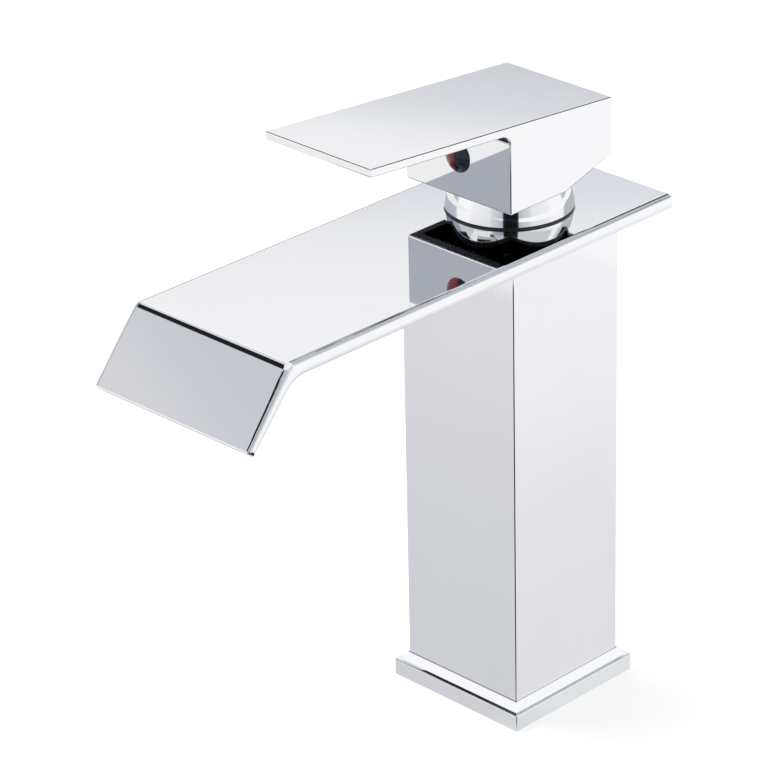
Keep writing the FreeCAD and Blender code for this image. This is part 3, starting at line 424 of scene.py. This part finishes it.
def studio_world():
    """Light and dark fields as mirrors see them; plain white light for the rest.

    height runs from the horizon to straight up, forward from behind the object (0) to the
    camera's side (1), and hand from the camera's left (0) to its right (1).
    """
    look = Sky("studio")
    path = look.add("ShaderNodeLightPath").outputs
    direction = look.add("ShaderNodeTexCoord").outputs["Generated"]
    height = look.split(direction)["Z"]
    turn = level(look, direction)
    forward = along(look, turn, TO_CAMERA, -1.0, 1.0)
    hand = along(look, turn, TO_RIGHT, -1.0, 1.0)

    # Below about half height: behind the object, then round it from back to front.
    behind = ramp(look, height, [
        (0.0, GREY[1]), (0.18, GREY[3]), (0.248, GREY[4]), (0.260, (0.71, 0.725, 0.765)),
        (0.272, (0.93, 0.93, 0.945)), (0.33, (0.95, 0.95, 0.965)), (0.385, GREY[5]),
        (0.394, (0.74, 0.76, 0.81)), (0.403, (0.86, 0.865, 0.88)), (0.411, LILAC),
        (0.42, (0.93, 0.93, 0.94))])
    around = ramp(look, forward, [
        (0.0, GREY[3]), (0.33, GREY[3]), (0.42, WHITE), (0.60, WHITE), (0.72, LILAC),
        (0.88, (0.84, 0.85, 0.86)), (0.95, GREY[4]), (0.984, GREY[3])])
    hand_left = ramp(look, height, [
        (0.345, WHITE), (0.385, GREY[2]), (0.455, GREY[2]), (0.478, (0.70, 0.70, 0.72)),
        (0.505, (0.59, 0.61, 0.65))])
    beside = between(look, forward, 0.035, 0.055)
    left = look.mixed(beside, behind, look.times(around, hand_left))
    right = look.mixed(beside, behind, around)

    # Higher up: on the left dark but for a light gap, on the right dark behind the object.
    left_lit = ramp(look, height, [(0.66, WHITE), (0.73, GREY[5])])
    left_dark = ramp(look, forward, [
        (0.140, 1.0), (0.155, BLACK), (0.47, BLACK), (0.50, GREY[4]), (0.61, GREY[4]),
        (0.63, BLACK), (0.84, BLACK), (0.92, GREY[3])])
    left_top = ramp(look, forward, [
        (0.140, GREY[5]), (0.155, BLACK), (0.47, BLACK), (0.53, GREY[3])])
    left_high = look.mixed(between(look, height, 0.67, 0.71),
                           look.times(left_lit, left_dark), left_top)
    right_dark = ramp(look, forward, [
        (0.30, BLACK), (0.33, GREY[3]), (0.40, GREY[4]), (0.49, WHITE), (0.60, GREY[4])])
    right_top = ramp(look, forward, [(0.30, GREY[3]), (0.47, WHITE), (0.60, GREY[4])])
    right_high = look.mixed(between(look, height, 0.665, 0.70), right_dark, right_top)
    left = look.mixed(between(look, height, 0.575, 0.60), left, left_high)
    right = look.mixed(between(look, height, 0.53, 0.55), right, right_high)
    mirror = look.mixed(between(look, hand, 0.495, 0.51), left, right)

    # A light ceiling.
    mirror = look.mixed(between(look, height, 0.79, 0.84), mirror, CEILING)

    # A dark stripe in front: low down, and wherever one mirror shows it to another.
    striped = look.times(mirror, ramp(look, forward, STRIPE))
    low = ramp(look, height, [(0.19, 1.0), (0.22, 0.0)])
    second_mirror = look.maths("GREATER_THAN", path["Glossy Depth"], 1.5)
    mirror = look.mixed(look.maths("MAXIMUM", low, second_mirror), mirror, striped)

    bright = look.light("ShaderNodeBackground", mirror, 1.0)
    plain = look.light("ShaderNodeBackground", PLAIN_WHITE, ROOM_LIGHT)
    backdrop = look.light("ShaderNodeBackground", PLAIN_WHITE, 1.0)
    mirrored = look.either(path["Is Glossy Ray"], plain, bright)
    clear = look.maths("MAXIMUM", path["Is Camera Ray"], path["Is Transmission Ray"])
    look.link(look.either(clear, mirrored, backdrop), look.output.inputs["Surface"])
    return look.material


def pale_floor():
    """White floor that keeps the shadow; mirrors see on it painted reflections, glowing lit and
    dark fields.
    """
    look = Shader("pale_floor")
    path = look.add("ShaderNodeLightPath").outputs
    place = look.add("ShaderNodeTexCoord").outputs["Object"]
    matt = look.add("ShaderNodeBsdfDiffuse", sockets={
        "Color": (FLOOR_COLOUR, FLOOR_COLOUR, FLOOR_COLOUR, 1)}).outputs[0]
    shown = look.add("ShaderNodeAddShader")
    look.link(matt, shown.inputs[0])
    look.link(look.light("ShaderNodeEmission", PLAIN_WHITE, FLOOR_GLOW), shown.inputs[1])

    # Painted reflection, the lit part: a square round the foot, darker on the camera's left.
    size = look.split(look.vector("ABSOLUTE", place))
    square = look.spread(look.maths("MAXIMUM", size["X"], size["Y"]),
                         0.0, 1.0, 0.0, SQUARE_REACH)
    left = ramp(look, square, [
        (0.122, (0.65, 0.66, 0.69)), (0.89, (0.745, 0.74, 0.775)), (0.96, 0.90)])
    right = ramp(look, square, [
        (0.122, (0.78, 0.81, 0.825)), (0.128, (0.78, 0.775, 0.81)),
        (0.89, (0.93, 0.93, 0.96)), (0.96, (0.99, 0.99, 1.0))])
    side = look.mixed(along(look, level(look, place), TO_RIGHT, -0.5, 0.5), left, right)

    # Painted reflection: behind the rear corner a narrow grey field.
    behind = level(look, look.vector("SUBTRACT", place, REAR_CORNER))
    back = ramp(look, along(look, behind, TO_CAMERA, -1.0, 1.0), [(0.05, 0.45), (0.10, 1.0)])

    # Painted reflection: before the front corner a dark field, narrow where the spout's edge
    # meets it, then a lit gap, and the stripe again far out.
    ahead = level(look, look.vector("SUBTRACT", place, FRONT_CORNER))
    ahead = along(look, ahead, TO_CAMERA, -1.0, 1.0)
    wide = ramp(look, ahead, [(0.860, 1.0), (0.880, DARK)])
    narrow = ramp(look, ahead, STRIPE)
    distance = look.vector("LENGTH", place)
    reach = look.spread(distance, 0.0, 1.0, 0.0, NEAR_REACH)
    far = look.spread(distance, 0.0, 1.0, NEAR_REACH, FAR_REACH)
    front = look.mixed(ramp(look, reach, [
        (0.640, 0.0), (0.648, 1.0), (0.682, 1.0), (0.690, 0.0)]), wide, narrow)
    front = look.mixed(between(look, reach, 0.82, 0.96), front, PLAIN_WHITE)
    front = look.mixed(between(look, far, 0.05, 0.15), front, narrow)

    field = look.light("ShaderNodeEmission", look.times(look.times(side, back), front), 1.0)
    direct = look.maths("MAXIMUM", path["Is Camera Ray"], path["Is Glossy Ray"])
    direct = look.maths("MAXIMUM", direct, path["Is Transmission Ray"])
    chosen = look.either(path["Is Glossy Ray"], shown.outputs[0], field)
    look.link(look.either(direct, matt, chosen), look.output.inputs["Surface"])
    return look.material


def flat_square(name, width):
    mesh = bpy.data.meshes.new(name)
    half = width / 2
    corners = [(-half, -half, 0), (half, -half, 0), (half, half, 0), (-half, half, 0)]
    mesh.from_pydata(corners, [], [(0, 1, 2, 3)])
    plane = bpy.data.objects.new(name, mesh)
    bpy.context.scene.collection.objects.link(plane)
    return plane


def soft_lamp(name, power):
    """Round lamp overhead, itself unseen in the mirrors."""
    data = bpy.data.lights.new(name, "AREA")
    data.shape = "DISK"
    data.size = LAMP_SIZE
    data.energy = power
    lamp = bpy.data.objects.new(name, data)
    lamp.location = LAMP_PLACE
    aim = Vector(LAMP_AIM) - Vector(LAMP_PLACE)
    lamp.rotation_euler = aim.to_track_quat("-Z", "Y").to_euler()
    lamp.visible_glossy = False
    bpy.context.scene.collection.objects.link(lamp)


def photo_camera(settings):
    """Camera at the photograph's angle."""
    a, e, r = settings.azimuth, settings.elevation, settings.roll
    back = Vector((math.sin(a) * math.cos(e), -math.cos(a) * math.cos(e), math.sin(e)))
    right = (-back).cross(Vector((0, 0, 1))).normalized()
    up = right.cross(-back).normalized()
    rolled_right = right * math.cos(r) + up * math.sin(r)
    rolled_up = up * math.cos(r) - right * math.sin(r)
    data = bpy.data.cameras.new("camera")
    data.sensor_width = 36.0
    data.lens = settings.lens
    data.clip_start = 0.01
    data.clip_end = 50.0
    camera = bpy.data.objects.new("camera", data)
    turned = Matrix((rolled_right, rolled_up, back)).transposed().to_4x4()
    place = Vector(settings.target) + back * settings.distance
    camera.matrix_world = Matrix.Translation(place) @ turned
    bpy.context.scene.collection.objects.link(camera)
    bpy.context.scene.camera = camera


# ---------------------------------------------------------------- operators

class MIXER_OT_stage(bpy.types.Operator):
    """Floor, light, world and camera"""
    bl_idname = "mixer.stage"
    bl_label = "Stage"

    def execute(self, context):
        settings = context.scene.mixer_studio
        context.scene.view_settings.view_transform = "Standard"
        context.scene.world = studio_world()
        floor = flat_square("floor", settings.floor_size)
        floor.data.materials.append(pale_floor())
        soft_lamp("overhead_lamp", settings.lamp_power)
        photo_camera(settings)
        return {"FINISHED"}


class MIXER_OT_chrome_pieces(bpy.types.Operator):
    """Plated pieces: foot, column, spout, dome cap and handle"""
    bl_idname = "mixer.chrome_pieces"
    bl_label = "Chrome pieces"

    def execute(self, context):
        chrome = polished_chrome(context.scene.mixer_finish)
        for node in ("base_flange", "column_body", "spout_shell", "spout_floor", "dome_cap"):
            finish(node, chrome)
        # The handle's hub gets painted shade in its hollow and on its underside.
        hollow = polished_chrome(context.scene.mixer_finish, "chrome_painted_shade", hub_painted_shade)
        finish("handle", hollow)
        return {"FINISHED"}


class MIXER_OT_seals(bpy.types.Operator):
    """Foot gasket, spout gasket and the cartridge's rings"""
    bl_idname = "mixer.seals"
    bl_label = "Seals"

    def execute(self, context):
        rubber = seal_rubber(context.scene.mixer_finish)
        for node in ("base_gasket", "spout_gasket", "port_seals", "disc_seals", "housing_ring"):
            finish(node, rubber)
        return {"FINISHED"}


class MIXER_OT_cartridge(bpy.types.Operator):
    """Cartridge: moulded pieces, ceramic discs, nut, pin and stem"""
    bl_idname = "mixer.cartridge"
    bl_label = "Cartridge"

    def execute(self, context):
        settings = context.scene.mixer_finish
        plastic = cartridge_plastic(settings)
        for node in ("cartridge_base", "cartridge_housing", "cartridge_rotor", "stop_ring",
                     "disc_carrier"):
            finish(node, plastic)
        ceramic = lapped_ceramic(settings)
        for node in ("fixed_disc", "moving_disc"):
            finish(node, ceramic)
        brass = turned_metal("turned_brass", settings.brass, 0.22)
        for node in ("cartridge_nut", "spindle"):
            finish(node, brass)
        steel = turned_metal("turned_steel", settings.steel, 0.25)
        for node in ("pivot_pin", "set_screw"):
            finish(node, steel)
        return {"FINISHED"}


class MIXER_OT_dark_trim(bpy.types.Operator):
    """Slip ring under the dome and the indicator's carrier"""
    bl_idname = "mixer.dark_trim"
    bl_label = "Dark trim"

    def execute(self, context):
        black = black_plastic(context.scene.mixer_finish)
        for node in ("dome_ring", "indicator_plug"):
            finish(node, black)
        return {"FINISHED"}


class MIXER_OT_indicator(bpy.types.Operator):
    """Red and blue halves of the button"""
    bl_idname = "mixer.indicator"
    bl_label = "Indicator"

    def execute(self, context):
        settings = context.scene.mixer_finish
        finish("indicator_hot", indicator_resin("hot_resin", settings.red))
        finish("indicator_cold", indicator_resin("cold_resin", settings.blue))
        return {"FINISHED"}


class MIXER_PT_panel(bpy.types.Panel):
    """Pieces and settings of the mixer"""
    bl_idname = "MIXER_PT_panel"
    bl_label = "Mixer"
    bl_space_type = "VIEW_3D"
    bl_region_type = "UI"
    bl_category = "Mixer"

    def draw(self, context):
        for operator in OPERATORS:
            self.layout.operator(operator.bl_idname)
        for group in (context.scene.mixer_studio, context.scene.mixer_finish):
            for name in group.bl_rna.properties.keys():
                if name not in ("rna_type", "name"):
                    self.layout.prop(group, name)


OPERATORS = (MIXER_OT_stage, MIXER_OT_chrome_pieces, MIXER_OT_seals, MIXER_OT_cartridge,
             MIXER_OT_dark_trim, MIXER_OT_indicator)
CLASSES = (StudioSettings, FinishSettings, *OPERATORS, MIXER_PT_panel)


def register():
    for item in CLASSES:
        bpy.utils.register_class(item)
    bpy.types.Scene.mixer_studio = bpy.props.PointerProperty(type=StudioSettings)
    bpy.types.Scene.mixer_finish = bpy.props.PointerProperty(type=FinishSettings)


def unregister():
    del bpy.types.Scene.mixer_finish
    del bpy.types.Scene.mixer_studio
    for item in reversed(CLASSES):
        bpy.utils.unregister_class(item)


def main():
    register()
    for name in ("stage", "chrome_pieces", "seals", "cartridge", "dark_trim", "indicator"):
        getattr(bpy.ops.mixer, name)()


if __name__ == "__main__":
    main()
